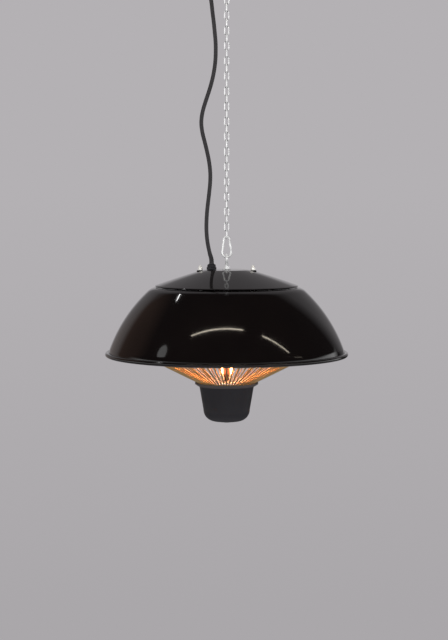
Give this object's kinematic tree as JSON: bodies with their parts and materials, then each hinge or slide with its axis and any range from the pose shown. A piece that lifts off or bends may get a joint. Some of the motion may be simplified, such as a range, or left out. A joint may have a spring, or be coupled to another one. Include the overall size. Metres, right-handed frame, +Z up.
{
  "type": "hanging patio heater",
  "caption": "Hanging patio heater with a gloss black domed shade, radial wire guard, upright quartz lamps and a control cup, hung by an eye bolt and snap hook on a link chain.",
  "frame": {"origin": "centre of the ceiling plate's flat top face", "axes": "+Z up, -Y towards the picture's viewer, +X to the viewer's right; everything hangs below the origin"},
  "size_m": [0.425, 0.425, 0.9645],
  "materials": {
    "zinc_plated_steel": "bright zinc plate",
    "gloss_black_enamel": "gloss",
    "satin_black_plastic": "satin",
    "polished_aluminium": "polished",
    "quartz_glass": "clear",
    "white_ceramic": "satin ceramic",
    "chromed_guard_wire": "bright",
    "cord_rubber": "satin",
    "circuit_board": "satin",
    "dark_lens": "gloss",
    "nickel_plated_brass": "bright nickel plate"
  },
  "bodies": {
    "ceiling": {"ceiling_plate": "zinc_plated_steel", "ceiling_hook": "zinc_plated_steel"},
    "top_link": {"chain_top_link": "zinc_plated_steel"},
    "chain_run": {"chain": "zinc_plated_steel", "power_cord": "cord_rubber", "cord_coil": "cord_rubber", "coil_tie": "satin_black_plastic", "plug": "satin_black_plastic", "plug_pin_left": "nickel_plated_brass", "plug_pin_right": "nickel_plated_brass"},
    "snap_hook": {"snap_hook_body": "zinc_plated_steel", "snap_hook_pin": "zinc_plated_steel"},
    "gate": {"snap_hook_gate": "zinc_plated_steel"},
    "heater": {"eye_bolt": "zinc_plated_steel", "eye_nut": "zinc_plated_steel", "eye_washer": "zinc_plated_steel", "eye_spacer": "zinc_plated_steel", "top_cap": "gloss_black_enamel", "cap_nut_left": "nickel_plated_brass", "cap_nut_right": "nickel_plated_brass", "cap_stud_left": "zinc_plated_steel", "cap_stud_right": "zinc_plated_steel", "cap_spacer_left": "zinc_plated_steel", "cap_spacer_right": "zinc_plated_steel", "stud_nut_left": "zinc_plated_steel", "stud_nut_right": "zinc_plated_steel", "gland_body": "satin_black_plastic", "gland_locknut": "nickel_plated_brass", "gland_nut": "satin_black_plastic", "shade": "gloss_black_enamel", "hanger_bracket": "zinc_plated_steel", "terminal_block": "white_ceramic", "reflector": "polished_aluminium", "centre_post": "zinc_plated_steel", "post_nut": "zinc_plated_steel", "upper_lamp_plate": "polished_aluminium", "lower_lamp_plate": "polished_aluminium", "lamp_tube_1": "quartz_glass", "lamp_tube_2": "quartz_glass", "lamp_tube_3": "quartz_glass", "lamp_end_upper_1": "white_ceramic", "lamp_end_upper_2": "white_ceramic", "lamp_end_upper_3": "white_ceramic", "lamp_end_lower_1": "white_ceramic", "lamp_end_lower_2": "white_ceramic", "lamp_end_lower_3": "white_ceramic", "wire_guard": "chromed_guard_wire", "guard_clip_1": "zinc_plated_steel", "guard_clip_2": "zinc_plated_steel", "guard_clip_3": "zinc_plated_steel", "cup_lid": "satin_black_plastic", "cup": "satin_black_plastic", "cup_screw_1": "zinc_plated_steel", "cup_screw_2": "zinc_plated_steel", "cup_screw_3": "zinc_plated_steel", "control_board": "circuit_board", "button_spring": "zinc_plated_steel", "receiver_lens": "dark_lens"},
    "button": {"power_button": "satin_black_plastic"}
  },
  "joints": [
    {"name": "chain_front_to_back", "type": "hinge", "parent": "ceiling", "child": "top_link", "pos_m": [0, 0, -0.03363], "axis": [1, 0, 0], "range_deg": [-30, 30]},
    {"name": "chain_side_to_side", "type": "hinge", "parent": "top_link", "child": "chain_run", "pos_m": [0, 0, -0.04528], "axis": [0, 1, 0], "range_deg": [-30, 30]},
    {"name": "snap_hook_side_to_side", "type": "hinge", "parent": "chain_run", "child": "snap_hook", "pos_m": [0, 0, -0.64253], "axis": [0, 1, 0], "range_deg": [-30, 30], "deforming": ["power_cord"]},
    {"name": "heater_front_to_back", "type": "hinge", "parent": "snap_hook", "child": "heater", "pos_m": [0, 0, -0.67453], "axis": [1, 0, 0], "range_deg": [-30, 30], "deforming": ["power_cord"]},
    {"name": "gate_opening", "type": "hinge", "parent": "snap_hook", "child": "gate", "pos_m": [0.00731, 0, -0.66252], "axis": [0, -1, 0], "range_deg": [0, 20], "stiffness_Nm_per_rad": 0.1, "springref_deg": -17.19},
    {"name": "button_press", "type": "slide", "parent": "heater", "child": "button", "axis": [0, 0, 1], "range_m": [0, 0.002], "stiffness_N_per_m": 200, "springref_m": -0.002, "deforming": ["button_spring"]}
  ]
}
